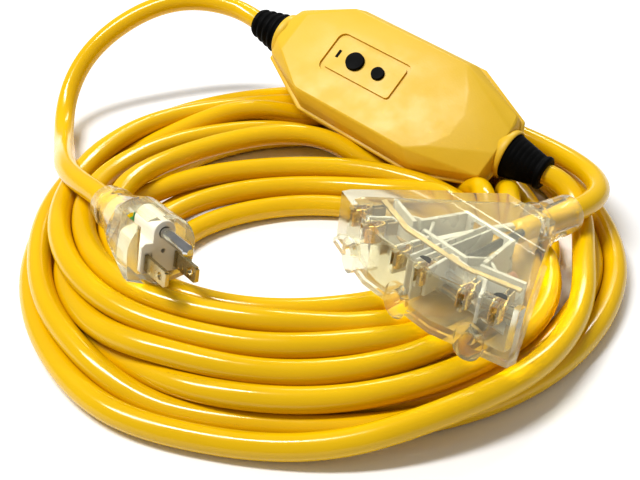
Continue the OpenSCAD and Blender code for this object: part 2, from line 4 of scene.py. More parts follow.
import bmesh
import bpy
import numpy as np
from mathutils import Euler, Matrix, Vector


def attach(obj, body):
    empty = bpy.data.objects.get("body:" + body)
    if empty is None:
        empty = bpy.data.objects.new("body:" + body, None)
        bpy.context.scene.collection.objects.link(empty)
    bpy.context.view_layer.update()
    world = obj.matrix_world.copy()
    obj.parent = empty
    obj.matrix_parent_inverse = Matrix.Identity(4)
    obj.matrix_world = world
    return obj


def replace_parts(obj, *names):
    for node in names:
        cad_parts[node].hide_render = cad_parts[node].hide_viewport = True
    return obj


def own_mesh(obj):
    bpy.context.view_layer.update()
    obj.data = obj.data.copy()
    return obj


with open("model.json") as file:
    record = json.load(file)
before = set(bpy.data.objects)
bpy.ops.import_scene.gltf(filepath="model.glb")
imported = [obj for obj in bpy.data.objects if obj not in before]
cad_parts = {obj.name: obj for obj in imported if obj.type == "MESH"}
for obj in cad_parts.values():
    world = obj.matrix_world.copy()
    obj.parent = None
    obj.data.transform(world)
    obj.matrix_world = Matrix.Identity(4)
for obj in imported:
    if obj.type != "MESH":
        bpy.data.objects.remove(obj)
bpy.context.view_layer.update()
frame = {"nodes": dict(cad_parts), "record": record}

# ---------------------------------------------------------------- frames
# Sizes are in millimetres, and MM turns them into metres where a mesh or a light is made.
MM = 0.001
COIL_CENTRE = np.array((4.0, -10.3, 0.0))
CORD_D = 10.0
CORD_R = CORD_D / 2
FLOOR_GAP = CORD_R + 0.3


def local_frame(at, turns):
    """A hard piece's own frame: where its origin lies, and its roll, tip and turn in degrees."""
    rotation = np.array(Euler([math.radians(a) for a in turns], "XYZ").to_matrix())
    return np.array(at, float) + COIL_CENTRE, rotation


MODULE = local_frame((35.5, 79.2, 37.6), (35, 8.4, -39.2))
TAP = local_frame((28.7, -72.6, 27), (0, -6.5, 218.5))
PLUG = local_frame((-60, -57, 43), (-15, -6, -54))
MODULE_HALF = 68.0
PIN_Z = 7.0
BLADE_Z = -4.9


def at(place, point):
    """A point of a hard piece, in the row frame, in millimetres."""
    return place[0] + place[1] @ np.array(point, float)


# ---------------------------------------------------------------- camera
def make_camera():
    """Looks down at the coil from the front, 36 degrees below the horizon."""
    data = bpy.data.cameras.new("camera")
    data.lens = 56.25
    data.sensor_width = 36.0
    data.clip_start, data.clip_end = 0.01, 20.0
    camera = bpy.data.objects.new("camera", data)
    camera.location = Vector((COIL_CENTRE + (0, -362, 268.4)) * MM)
    camera.rotation_euler = (math.radians(90 - 36), 0, 0)
    bpy.context.scene.collection.objects.link(camera)
    bpy.context.scene.camera = camera


make_camera()

# ---------------------------------------------------------------- cords
# Each turn of the hand-wound coil: how far it reaches, and the height of its centre, at the
# right, front, left and back of the coil. The turns are listed in the order they were wound.
TURNS = [
    (120, 5.2, 124, 5.2, 125, 5.2, 120, 5.2),
    (129, 5.2, 113.5, 5.2, 121.5, 15, 118, 14),
    (119, 5.2, 103.5, 5.2, 104, 5.2, 107, 5.2),
    (99, 5.2, 89, 5.2, 94, 5.2, 92, 5.2),
    (79, 5.2, 78, 5.2, 84, 5.2, 50, 5.2),
    (59, 5.2, 67, 5.2, 70, 5.2, 28, 5.2),
    (69, 5.2, 83, 14, 80, 13, 37, 10),
    (64, 14, 69, 22, 91.5, 20, 65, 23),
    (89, 5.2, 80, 26, 102.5, 23, 84, 14),
    (74, 14, 90, 22.5, 113, 22.5, 108, 16),
    (84, 14, 99.6, 18.5, 107.5, 14.5, 46, 15),
    (94, 13, 109, 14, 115, 5.2, 98, 23),
]
# Where the wound turns begin and end, in quarter turns from the right of the coil.
FIRST_QUARTER = 1.12
LAST_QUARTER = 47.45
# Lengths along a centreline: its step while the turns settle, the lead's step while it is
# eased, and the step of the finished tubes.
SETTLE_STEP = 9.0
LEAD_STEP = 7.0
TUBE_STEP = 3.5
# Stretches at each end that stay straight out of their exits, and that ignore the hard pieces.
HELD_END = 44
CLEAR_END = 75
# Settling: rounds, pull back to the wound shape, smoothing passes, and how hard turns part.
ROUNDS = 260
PULL = 0.03
STIFF = 4
PART_GAIN = 1.9
# Turns nearer than this along the cord are not neighbours, in diameters.
NEIGHBOUR_RUN = 3.2
NEAR_MARGIN = 14
LEAD_SMOOTHING = 60


def eased(stops, q):
    """A smooth value at q between stops of (q, value), level at each stop."""
    for (qa, a), (qb, b) in zip(stops[:-1], stops[1:]):
        if qa <= q <= qb:
            return a + (b - a) * (1 - math.cos(math.pi * (q - qa) / (qb - qa))) / 2
    return stops[0][1] if q < stops[0][0] else stops[-1][1]


def coil_points():
    """The wound turns, clockwise from above, before they settle against each other."""
    across, along, up = [], [(-1, TURNS[0][6])], []
    for i, (right, zr, front, zf, left, zl, back, zb) in enumerate(TURNS):
        across += [(4 * i, right), (4 * i + 2, -left)]
        along += [(4 * i + 1, -front), (4 * i + 3, back)]
        up += [(4 * i, zr), (4 * i + 1, zf), (4 * i + 2, zl), (4 * i + 3, zb)]
    across.append((4 * len(TURNS), TURNS[-1][0]))
    quarters = np.arange(FIRST_QUARTER, LAST_QUARTER, 1 / 15)
    return [(eased(across, q), eased(along, q), eased(up, q)) for q in quarters]


def even_curve(points, step):
    """A Catmull-Rom curve through points, cut into even steps."""
    p = np.array(points, float)
    ends = np.vstack([2 * p[0] - p[1], p, 2 * p[-1] - p[-2]])
    t = np.linspace(0, 1, 10, endpoint=False)[:, None]
    fine = np.vstack([
        0.5 * (2 * b + (c - a) * t + (2 * a - 5 * b + 4 * c - d) * t**2
               + (3 * b - a - 3 * c + d) * t**3)
        for a, b, c, d in zip(ends[:-3], ends[1:-2], ends[2:-1], ends[3:])
    ] + [p[-1:]])
    run = np.r_[0, np.cumsum(np.linalg.norm(np.diff(fine, axis=0), axis=1))]
    stops = np.linspace(0, run[-1], max(2, int(round(run[-1] / step)) + 1))
    return np.stack([np.interp(stops, run, fine[:, k]) for k in range(3)], 1)


def length_of(points):
    """Length of a line of points."""
    return float(np.linalg.norm(np.diff(points, axis=0), axis=1).sum())


def outline_sides(outline):
    """Outward normals and offsets of a convex outline's sides."""
    p = np.array(outline, float)
    middle = p.mean(0)
    for a, b in zip(p, np.roll(p, -1, axis=0)):
        n = np.array((b - a)[[1, 0]]) * (1, -1)
        n = n / np.linalg.norm(n)
        yield (n, n @ a) if n @ middle < n @ a else (-n, -n @ a)


MODULE_PLAN = [(-68, -15), (-37, -31), (35, -31), (65, -16), (68, -11),
               (68, 11), (65, 16), (35, 31), (-37, 31), (-68, 15)]
TAP_PLAN = [(0, -18), (0, 18), (-9.6, 47.5), (-13.6, 46.9), (-70, 13),
            (-70, -13), (-13.6, -46.9), (-9.6, -47.5)]


def solid_walls(place, outline, low, high, lean=0.0, grow=0.0):
    """Half-spaces of a prism that leans inwards towards its underside."""
    walls, offsets = [], []
    for n, h in outline_sides(outline):
        for slope in {0.0, lean}:
            wall = np.array((n[0], n[1], -slope))
            size = np.linalg.norm(wall)
            walls.append(wall / size)
            offsets.append((h + grow + 2 * slope) / size)
    walls += [np.array((0, 0, 1.0)), np.array((0, 0, -1.0))]
    offsets += [high, -low]
    return place, np.array(walls), np.array(offsets)


def boss_walls(x, y):
    """Half-spaces of a tab under the tap."""
    return solid_walls(TAP, [(x - 5, y - 6), (x + 5, y - 6), (x + 5, y + 6), (x - 5, y + 6)],
                       -4.2, 0)


HARD = [
    solid_walls(MODULE, MODULE_PLAN, -16, 14, lean=5 / 14),
    solid_walls(TAP, TAP_PLAN, -0.3, 24, grow=1.2),
    boss_walls(-3, 0), boss_walls(-8, 33), boss_walls(-8, -33),
]
# Round hard pieces: frame, both ends of the axis and the radius.
RODS = [
    (MODULE, (68, 0, 0), (88, 0, 0), 10.4), (MODULE, (-68, 0, 0), (-88, 0, 0), 10.4),
    (TAP, (-66, 0, 12), (-97, 0, 12), 10.0), (PLUG, (-22, 0, 0), (0, 0, 0), 14.6),
    (PLUG, (-47, 0, 0), (-22, 0, 0), 10.0), (PLUG, (0, 0, 0), (18, 0, 0), 11.0),
]


def push_out_of_hard(p, free):
    """Moves the free points of a cord's centreline clear of the module, the tap and the plug."""
    for place, walls, offsets in HARD:
        q = (p - place[0]) @ place[1]
        depth = q @ walls.T - offsets - CORD_R
        inside = (depth.max(1) < 0) & free
        if inside.any():
            near = depth[inside].argmax(1)
            q[inside] -= walls[near] * depth[inside].max(1)[:, None]
            p[inside] = place[0] + q[inside] @ place[1].T
    for place, start, end, radius in RODS:
        a, b = at(place, start), at(place, end)
        t = np.clip((p - a) @ (b - a) / ((b - a) @ (b - a)), 0, 1)
        foot = a + t[:, None] * (b - a)
        away = p - foot
        gap = np.linalg.norm(away, axis=1)
        inside = (gap < radius + CORD_R) & free
        p[inside] = foot[inside] + away[inside] / gap[inside, None] * (radius + CORD_R)
    low = (p[:, 2] < FLOOR_GAP) & free
    p[low, 2] = FLOOR_GAP
    return p


def bend_smooth(p, moving, rounds):
    """Takes the sharpest bends out of a centreline, as a stiff cord does."""
    for _ in range(rounds):
        bend = np.zeros_like(p)
        bend[2:-2] = (-p[:-4] + 4 * p[1:-3] - 6 * p[2:-2] + 4 * p[3:-1] - p[4:]) / 16
        p = p + moving * bend
    return p


def close_pairs(p, apart):
    """Indices of points and of the segments of other turns that lie near them."""
    index = np.arange(len(p))
    near = np.linalg.norm(p[:, None] - p[None], axis=2) < CORD_D + NEAR_MARGIN
    i, j = np.where(near & (abs(index[:, None] - index) >= apart))
    keep = (j < len(p) - 1) & (abs(i - j - 1) >= apart)
    return i[keep], j[keep]


def part_turns(p, i, j, moving):
    """Moves touching turns apart until their centrelines are a diameter from each other."""
    along = p[j + 1] - p[j]
    t = np.clip(((p[i] - p[j]) * along).sum(1) / (along**2).sum(1), 0, 1)
    away = p[i] - p[j] - t[:, None] * along
    gap = np.linalg.norm(away, axis=1)
    hit = gap < CORD_D
    i, j, t = i[hit], j[hit], t[hit]
    shift = away[hit] * ((CORD_D - gap[hit]) / np.maximum(gap[hit], 0.01) / 4)[:, None]
    moved, count = np.zeros_like(p), np.zeros(len(p))
    for where, share in ((i, np.ones_like(t)), (j, t - 1), (j + 1, -t)):
        np.add.at(moved, where, shift * share[:, None])
        np.add.at(count, where, abs(share))
    return p + moving * moved / np.maximum(count, 1)[:, None] * PART_GAIN


def settle(p, held, clear):
    """Lets the turns lie against each other: held points stay, clear ones mind the hard pieces."""
    wanted = p.copy()
    apart = int(round(NEIGHBOUR_RUN * CORD_D / (length_of(p) / (len(p) - 1))))
    moving = ~held[:, None]
    for turn in range(ROUNDS):
        if turn % 8 == 0:
            i, j = close_pairs(p, apart)
        p = bend_smooth(p, moving, STIFF) + moving * PULL * (wanted - p)
        for _ in range(2):
            p = part_turns(p, i, j, moving)
        p = push_out_of_hard(p, clear & ~held)
    return p


def coil_at(x, y, z):
    """A point given from the coil's centre, in the row frame."""
    return COIL_CENTRE + (x, y, z)


# The free stretch from the module's outlet boot, under the tap's collar, to the first turn.
OUTPUT_ROUTE = [
    at(MODULE, (58, 0, 0)), at(MODULE, (73, 0, 0)), at(MODULE, (88, 0, 0)),
    at(MODULE, (101, 0, -2)), coil_at(117.5, 5, 13), coil_at(116, -13, 6.5),
    coil_at(111, -32, 5.5), coil_at(105, -53, 8), coil_at(94, -74, 13), coil_at(79, -94, 15.5),
    coil_at(57, -108, 15.5), coil_at(30, -119, 13), coil_at(8, -124.5, 8),
]
# The free stretch from the last turn, behind the module's boot, round into the tap.
TAP_ROUTE = [
    coil_at(86, 82, 15), coil_at(106, 66, 17), coil_at(122, 46, 18), coil_at(127, 24, 20),
    at(TAP, (-114, 0, 12)), at(TAP, (-97, 0, 12)), at(TAP, (-80, 0, 12)), at(TAP, (-64, 0, 12)),
]
# The whole supply lead, from the plug over the coil to the module's inlet boot.
PLUG_ROUTE = [
    at(PLUG, (-25, 0, 0)), at(PLUG, (-47, 0, 0)), at(PLUG, (-62, 0, 0)),
    coil_at(-110, 12, 32), coil_at(-121, 45, 22), coil_at(-131, 84, 8),
    coil_at(-135, 108, 13), coil_at(-126, 128, 32), coil_at(-100, 140, 50),
    coil_at(-72, 148, 57), at(MODULE, (-102, 0, 1)), at(MODULE, (-88, 0, 0)),
    at(MODULE, (-73, 0, 0)), at(MODULE, (-58, 0, 0)),
]


def main_centreline():
    """The cord from the module's outlet, round the coil, into the tap."""
    wound = [coil_at(*p) for p in coil_points()]
    p = even_curve(OUTPUT_ROUTE + wound + TAP_ROUTE, SETTLE_STEP)
    run = np.arange(len(p)) * length_of(p) / (len(p) - 1)
    from_end = np.minimum(run, run[-1] - run)
    return even_curve(settle(p, from_end < HELD_END, from_end > CLEAR_END), TUBE_STEP)


def lead_centreline():
    """The cord from the plug to the module's inlet, eased between its two ends."""
    p = even_curve(PLUG_ROUTE, LEAD_STEP)
    run = np.arange(len(p)) * LEAD_STEP
    free = np.minimum(run, run[-1] - run) > HELD_END
    return even_curve(bend_smooth(p, free[:, None], LEAD_SMOOTHING), TUBE_STEP)


def sweep_frames(points):
    """Two unit vectors across a centreline at each of its points, without any twist."""
    along = np.gradient(points, axis=0)
    along /= np.linalg.norm(along, axis=1)[:, None]
    side = np.cross(along[0], (0, 0.02, 1))
    sides = []
    for direction in along:
        side = side - direction * (side @ direction)
        side = side / np.linalg.norm(side)
        sides.append(side)
    sides = np.array(sides)
    return sides, np.cross(along, sides)


def mesh_object(name, vertices, faces):
    """An object from corners in millimetres in the row frame."""
    mesh = bpy.data.meshes.new(name)
    mesh.from_pydata([tuple(v) for v in np.array(vertices) * MM], [], faces)
    mesh.update()
    mesh.shade_smooth()
    piece = bpy.data.objects.new(name, mesh)
    bpy.context.scene.collection.objects.link(piece)
    return piece


def tube_object(name, points, radius, sides=20):
    """A round tube round a centreline, closed with flat ends."""
    across, over = sweep_frames(points)
    turn = np.linspace(0, 2 * math.pi, sides, endpoint=False)
    rings = points[:, None] + radius * (np.cos(turn)[None, :, None] * across[:, None]
                                        + np.sin(turn)[None, :, None] * over[:, None])
    n = len(points)
    faces = [(i * sides + k, i * sides + (k + 1) % sides,
              (i + 1) * sides + (k + 1) % sides, (i + 1) * sides + k)
             for i in range(n - 1) for k in range(sides)]
    faces += [tuple(range(sides))[::-1], tuple((n - 1) * sides + k for k in range(sides))]
    return mesh_object(name, rings.reshape(-1, 3), faces)


def cord_object(name, points):
    """A cord along a centreline, riding on the root body."""
    piece = tube_object(name, points, CORD_R)
    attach(piece, "root")
    return piece


main_line = main_centreline()
lead_line = lead_centreline()
main_cord = cord_object("main_cord", main_line)
supply_lead = cord_object("supply_lead", lead_line)
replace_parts(main_cord, "coil_cord", "output_cord", "tap_cord")
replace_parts(supply_lead, "plug_cord")


# ---------------------------------------------------------------- materials
def new_material(name):
    """A material, its node tree and its main shader."""
    m = bpy.data.materials.new(name)
    m.use_nodes = True
    tree = m.node_tree
    return m, tree, tree.nodes["Principled BSDF"]


def noise(tree, scale, detail=3.0):
    """A noise value that follows the piece's own coordinates."""
    coords = tree.nodes.new("ShaderNodeTexCoord")
    texture = tree.nodes.new("ShaderNodeTexNoise")
    texture.inputs["Scale"].default_value = scale
    texture.inputs["Detail"].default_value = detail
    tree.links.new(coords.outputs["Object"], texture.inputs["Vector"])
    return texture.outputs["Fac"]


def ramp(tree, value, stops):
    """A colour ramp from (position, colour) stops."""
    node = tree.nodes.new("ShaderNodeValToRGB")
    while len(node.color_ramp.elements) < len(stops):
        node.color_ramp.elements.new(0.5)
    for element, (position, colour) in zip(node.color_ramp.elements, stops):
        element.position = position
        element.color = (*colour, 1)
    tree.links.new(value, node.inputs["Fac"])
    return node.outputs["Color"]


def bump(tree, shader, value, strength, distance):
    """Raises a shader's surface by a value."""
    node = tree.nodes.new("ShaderNodeBump")
    node.inputs["Strength"].default_value = strength
    node.inputs["Distance"].default_value = distance
    tree.links.new(value, node.inputs["Height"])
    tree.links.new(node.outputs["Normal"], shader.inputs["Normal"])


def plastic(name, dark, light, roughness, grain=900.0, depth=0.00002, patch=14.0,
            specular=0.5):
    """Moulded plastic or vinyl: slow colour drift, fine grain and uneven gloss."""
    m, tree, shader = new_material(name)
    drift = noise(tree, patch, 5.0)
    tree.links.new(ramp(tree, drift, [(0.3, dark), (0.7, light)]), shader.inputs["Base Color"])
    low, high = roughness
    gloss = ramp(tree, noise(tree, patch * 6, 4.0), [(0.35, (low,) * 3), (0.65, (high,) * 3)])
    tree.links.new(gloss, shader.inputs["Roughness"])
    shader.inputs["Specular IOR Level"].default_value = specular
    bump(tree, shader, noise(tree, grain, 2.0), 0.4, depth)
    return m


def metal(name, dark, light, roughness, grain=1400.0):
    """Stamped or plated metal with a slightly brushed, stained surface."""
    m = plastic(name, dark, light, roughness, grain, 0.00001, patch=60.0)
    m.node_tree.nodes["Principled BSDF"].inputs["Metallic"].default_value = 1.0
    return m


def clear_plastic(name, dark, light, roughness, shade):
    """Clear moulding that lamps shine through: faint flow lines and a slight tint."""
    m, tree, shader = new_material(name)
    tree.links.new(ramp(tree, noise(tree, 45.0, 4.0), [(0.3, dark), (0.7, light)]),
                   shader.inputs["Base Color"])
    low, high = roughness
    tree.links.new(ramp(tree, noise(tree, 70.0), [(0.35, (low,) * 3), (0.65, (high,) * 3)]),
                   shader.inputs["Roughness"])
    shader.inputs["Transmission Weight"].default_value = 0.9
    shader.inputs["IOR"].default_value = 1.12
    shader.inputs["Coat Weight"].default_value = 0.6
    shader.inputs["Coat Roughness"].default_value = 0.06
    bump(tree, shader, noise(tree, 240.0, 2.0), 0.3, 0.0001)
    through = tree.nodes.new("ShaderNodeBsdfTransparent")
    through.inputs["Color"].default_value = (*shade, 1)
    path = tree.nodes.new("ShaderNodeLightPath")
    mix = tree.nodes.new("ShaderNodeMixShader")
    tree.links.new(path.outputs["Is Shadow Ray"], mix.inputs[0])
    tree.links.new(shader.outputs[0], mix.inputs[1])
    tree.links.new(through.outputs[0], mix.inputs[2])
    tree.links.new(mix.outputs[0], tree.nodes["Material Output"].inputs["Surface"])
    return m


CORD = plastic("cord_vinyl", (0.75, 0.455, 0.001), (0.83, 0.515, 0.002), (0.14, 0.22),
               grain=260, depth=0.00008)
SHELL = plastic("shell_plastic", (0.72, 0.455, 0.022), (0.77, 0.50, 0.036), (0.38, 0.5),
                grain=1100, depth=0.00010, specular=0.45)
RUBBER = plastic("boot_rubber", (0.0008, 0.0008, 0.0008), (0.0018, 0.0018, 0.0018), (0.5, 0.7),
                 depth=0.00004, specular=0.12)
BUTTON = plastic("button_plastic", (0.001, 0.001, 0.001), (0.003, 0.003, 0.003), (0.5, 0.6),
                 specular=0.08)
WHITE = plastic("white_nylon", (0.72, 0.66, 0.52), (0.84, 0.79, 0.67), (0.3, 0.42))
CLEAR = clear_plastic("clear_vinyl", (0.82, 0.80, 0.64), (0.88, 0.865, 0.73), (0.08, 0.18),
                      (0.97, 0.96, 0.92))
MILKY = plastic("milky_frame", (0.72, 0.71, 0.68), (0.80, 0.79, 0.77), (0.25, 0.35))
MILKY.node_tree.nodes["Principled BSDF"].inputs["Transmission Weight"].default_value = 0.35
BLADE = metal("blade_brass", (0.42, 0.35, 0.20), (0.62, 0.54, 0.33), (0.22, 0.34))
# Painted shade: the contacts' brass is a darker, rougher copy of the mouth brass, dimmed so that
# the contact strips inside the tap read as lying in shade.
BRASS = metal("contact_brass_shaded", (0.34, 0.26, 0.12), (0.50, 0.39, 0.19), (0.35, 0.5))
MOUTH_BRASS = metal("mouth_brass", (0.60, 0.42, 0.12), (0.85, 0.64, 0.24), (0.2, 0.35))
STEEL = metal("plated_steel", (0.55, 0.55, 0.54), (0.72, 0.72, 0.70), (0.12, 0.25))
BOARD = plastic("board_green", (0.02, 0.11, 0.04), (0.03, 0.16, 0.06), (0.3, 0.4))
FERRITE = plastic("core_ferrite", (0.06, 0.05, 0.07), (0.12, 0.10, 0.13), (0.4, 0.6))
COPPER = metal("winding_copper", (0.50, 0.20, 0.08), (0.70, 0.32, 0.14), (0.3, 0.4), 2600.0)
COMPONENT = plastic("component_resin", (0.05, 0.10, 0.25), (0.09, 0.16, 0.36), (0.25, 0.4))
BLACK_WIRE = plastic("wire_black", (0.006, 0.006, 0.006), (0.02, 0.02, 0.02), (0.3, 0.4))
WHITE_WIRE = plastic("wire_white", (0.72, 0.72, 0.70), (0.85, 0.85, 0.83), (0.3, 0.4))
GREEN_WIRE = plastic("wire_green", (0.01, 0.16, 0.04), (0.02, 0.24, 0.07), (0.3, 0.4))
LAMP = plastic("lamp_glass", (0.75, 0.30, 0.12), (0.90, 0.42, 0.20), (0.05, 0.12))
LAMP.node_tree.nodes["Principled BSDF"].inputs["Transmission Weight"].default_value = 0.5

SLOT_MATERIAL = {
    "cord": CORD, "clear": CLEAR, "white_plastic": WHITE, "shell": SHELL,
    "black_plastic": BUTTON, "black_rubber": RUBBER, "blade": BLADE, "contact": BRASS,
    "steel": STEEL, "board": BOARD, "ferrite": FERRITE, "winding": COPPER,
    "component": COMPONENT, "wire_black": BLACK_WIRE, "wire_white": WHITE_WIRE,
    "wire_green": GREEN_WIRE, "lamp": LAMP,
}
for piece in (main_cord, supply_lead):
    piece.data.materials.append(CORD)


def dress_cad_nodes():
    """Gives each CAD node the material of its slot in the record."""
    for part in frame["record"]["subparts"]:
        node = frame["nodes"][part["node"]]
        node.data.materials.clear()
        node.data.materials.append(SLOT_MATERIAL[part["material_slot"]])
    frame["nodes"]["tap_inner_frame"].data.materials[0] = MILKY


dress_cad_nodes()


def soften(names, width, angle=35, segments=2):
    """Rounds the edges of CAD nodes."""
    for name in names:
        node = frame["nodes"][name]
        weld = node.modifiers.new("weld", "WELD")
        weld.merge_threshold = 0.00002
        bevel = node.modifiers.new("bevel", "BEVEL")
        bevel.width = width * MM
        bevel.segments = segments
        bevel.limit_method = "ANGLE"
        bevel.angle_limit = math.radians(angle)
        bevel.harden_normals = True
        bevel.use_clamp_overlap = True


soften(["gfci_bottom_shell"], 0.5)
soften(["tap_body", "plug_body"], 0.7)
soften(["reset_button", "test_button"], 0.35)


# ---------------------------------------------------------------- mouldings
def finish_piece(piece, name, material, body="root"):
    """Names, paints and seats a new piece."""
    piece.name = name
    piece.data.materials.append(material)
    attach(piece, body)
    return piece


def lathe(name, place, axis_z, profile, sides=64):
    """A ring turned round the local x axis at height axis_z, from (x, radius) points."""
    turn = np.linspace(0, 2 * math.pi, sides, endpoint=False)
    n = len(profile)
    vertices = [at(place, (x, r * math.cos(t), axis_z + r * math.sin(t)))
                for t in turn for x, r in profile]
    faces = [(i * n + k, i * n + (k + 1) % n, ((i + 1) % sides) * n + (k + 1) % n,
              ((i + 1) % sides) * n + k) for i in range(sides) for k in range(n)]
    return mesh_object(name, vertices, faces)


def inlet_boot():
    """Four soft ribs that shrink towards the cord."""
    outside = [(-68.4, 10.7), (-70.6, 10.7)]
    for k in range(4):
        x, r = -70.9 - 4.2 * k, 10.5 - 0.9 * k
        outside += [(x - 0.5, r - 1.0), (x - 1.1, r - 1.1), (x - 1.7, r - 0.4),
                    (x - 2.6, r), (x - 3.5, r - 0.4), (x - 4.1, r - 1.2)]
    outside += [(-87.8, 6.9), (-88, 6.3)]
    return outside + [(-88, 5.05), (-68.4, 5.05)]


def outlet_boot():
    """A smooth cone with a few faint rings and a lip at the cord's end."""
    outside = [(68.4, 10.6), (69, 10.8)]
    for k in range(6):
        x, r = 69.6 + 2.5 * k, 10.7 - 0.55 * k
        outside += [(x, r), (x + 1.6, r - 0.3), (x + 1.9, r - 0.5), (x + 2.3, r - 0.5)]
    outside += [(84.9, 7.3), (85.4, 7.9), (86.4, 8.2), (87.3, 8.0), (87.9, 7.2), (88, 6.4)]
    return outside + [(88, 5.05), (68.4, 5.05)]


for boot_name, node_name, shape in (("boot_inlet", "inlet_boot", inlet_boot()),
                                    ("boot_outlet", "outlet_boot", outlet_boot())):
    boot = finish_piece(lathe(boot_name, MODULE, 0, shape), boot_name, RUBBER)
    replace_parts(boot, node_name)


def boot_collar(s):
    """The rounded rim of the housing round a boot."""
    ring = [(64, 11.0), (64, 11.4), (67, 12.1), (68.3, 12.2), (69.0, 11.9), (69.3, 11.5),
            (69.0, 11.0), (68.2, 10.9)]
    return [(s * x, r) for x, r in ring]


for s, collar_name in ((-1, "collar_inlet"), (1, "collar_outlet")):
    finish_piece(lathe(collar_name, MODULE, 0, boot_collar(s)), collar_name, SHELL)


def rounded_outline(width, height, radius, centre=(0, 0), steps=8):
    """A rectangle with rounded corners."""
    points = []
    for k, (sx, sy) in enumerate(((1, 1), (-1, 1), (-1, -1), (1, -1))):
        for t in np.linspace(0, math.pi / 2, steps):
            turn = t + k * math.pi / 2
            points.append((centre[0] + sx * (width / 2 - radius) + radius * math.cos(turn),
                           centre[1] + sy * (height / 2 - radius) + radius * math.sin(turn)))
    return points


def prism(outline, low, high):
    """Corners and faces of an outline pulled up from low to high."""
    n = len(outline)
    corners = [(x, y, z) for z in (low, high) for x, y in outline]
    faces = [tuple(range(n))[::-1], tuple(range(n, 2 * n))]
    faces += [(k, (k + 1) % n, n + (k + 1) % n, n + k) for k in range(n)]
    return corners, faces


def ring_prism(outer, inner, low, high):
    """Corners and faces of the band between two outlines with the same number of points."""
    n = len(outer)
    corners = [(x, y, z) for z in (low, high) for x, y in outer + inner]
    faces = []
    for k in range(n):
        j = (k + 1) % n
        faces += [(k, j, n + j, n + k), (2 * n + k, 3 * n + k, 3 * n + j, 2 * n + j),
                  (k, 2 * n + k, 2 * n + j, j), (n + k, n + j, 3 * n + j, 3 * n + k)]
    return corners, faces


def hull_mesh(place, points):
    """A bmesh of the convex hull of local points, in metres in the row frame."""
    bm = bmesh.new()
    for q in points:
        bm.verts.new(at(place, q) * MM)
    made = bmesh.ops.convex_hull(bm, input=bm.verts)
    bmesh.ops.delete(bm, geom=[v for v in made["geom_interior"]
                               if isinstance(v, bmesh.types.BMVert)], context="VERTS")
    bmesh.ops.dissolve_limit(bm, angle_limit=math.radians(1), verts=bm.verts, edges=bm.edges)
    return bm


def bevel_bmesh(bm, width, angle, segments=3):
    """Rounds the edges sharper than angle."""
    sharp = [e for e in bm.edges if len(e.link_faces) == 2
             and e.calc_face_angle(0) > math.radians(angle)]
    bmesh.ops.bevel(bm, geom=sharp, offset=width * MM, segments=segments, profile=0.5,
                    affect="EDGES", clamp_overlap=True)


def object_from_bmesh(name, bm):
    """Makes an object of a bmesh and frees the bmesh."""
    mesh = bpy.data.meshes.new(name)
    bmesh.ops.recalc_face_normals(bm, faces=bm.faces)
    bm.to_mesh(mesh)
    bm.free()
    piece = bpy.data.objects.new(name, mesh)
    bpy.context.scene.collection.objects.link(piece)
    return piece


def local_prisms(name, place, prisms, bevel=0.0, angle=30):
    """One piece made of prisms given in a hard piece's frame."""
    bm = bmesh.new()
    for corners, faces in prisms:
        made = [bm.verts.new(at(place, q) * MM) for q in corners]
        for face in faces:
            bm.faces.new([made[k] for k in face])
    bmesh.ops.recalc_face_normals(bm, faces=bm.faces)
    if bevel:
        bevel_bmesh(bm, bevel, angle, 2)
    return object_from_bmesh(name, bm)


def carve(piece, cutters):
    """Takes cutters out of a piece and throws them away."""
    for cutter in cutters:
        cut = piece.modifiers.new("cut", "BOOLEAN")
        cut.operation, cut.solver, cut.object = "DIFFERENCE", "EXACT", cutter
    bpy.context.view_layer.update()
    carved = bpy.data.meshes.new_from_object(
        piece.evaluated_get(bpy.context.evaluated_depsgraph_get()))
    piece.modifiers.clear()
    piece.data = carved
    for cutter in cutters:
        bpy.data.objects.remove(cutter)


def housing_plan(e):
    """Plan of the module's housing, drawn in by e."""
    h, w = MODULE_HALF - e, 31.3 - e
    return [(-h, -15 + e / 2), (-h + 31, -w), (h - 33, -w - 1), (h - 1, -20 + e / 2), (h, -13),
            (h, 12), (h - 2, 17 - e / 2), (h - 33, w), (-h + 31, w), (-h, 15 - e / 2)]


PLATEAU = [(-58, -12), (-38, -26), (28, -26), (37, -20), (43.5, -10), (44, 2), (39, 13),
           (30, 25), (-37, 25), (-58, 11)]
PLATEAU_IN = [(-51, -10), (-36, -23), (26, -23), (34, -18), (41, -7), (41, 7), (31, 22),
              (-35, 22), (-51, 9)]
GROOVE_AT = (-13.2, 0)


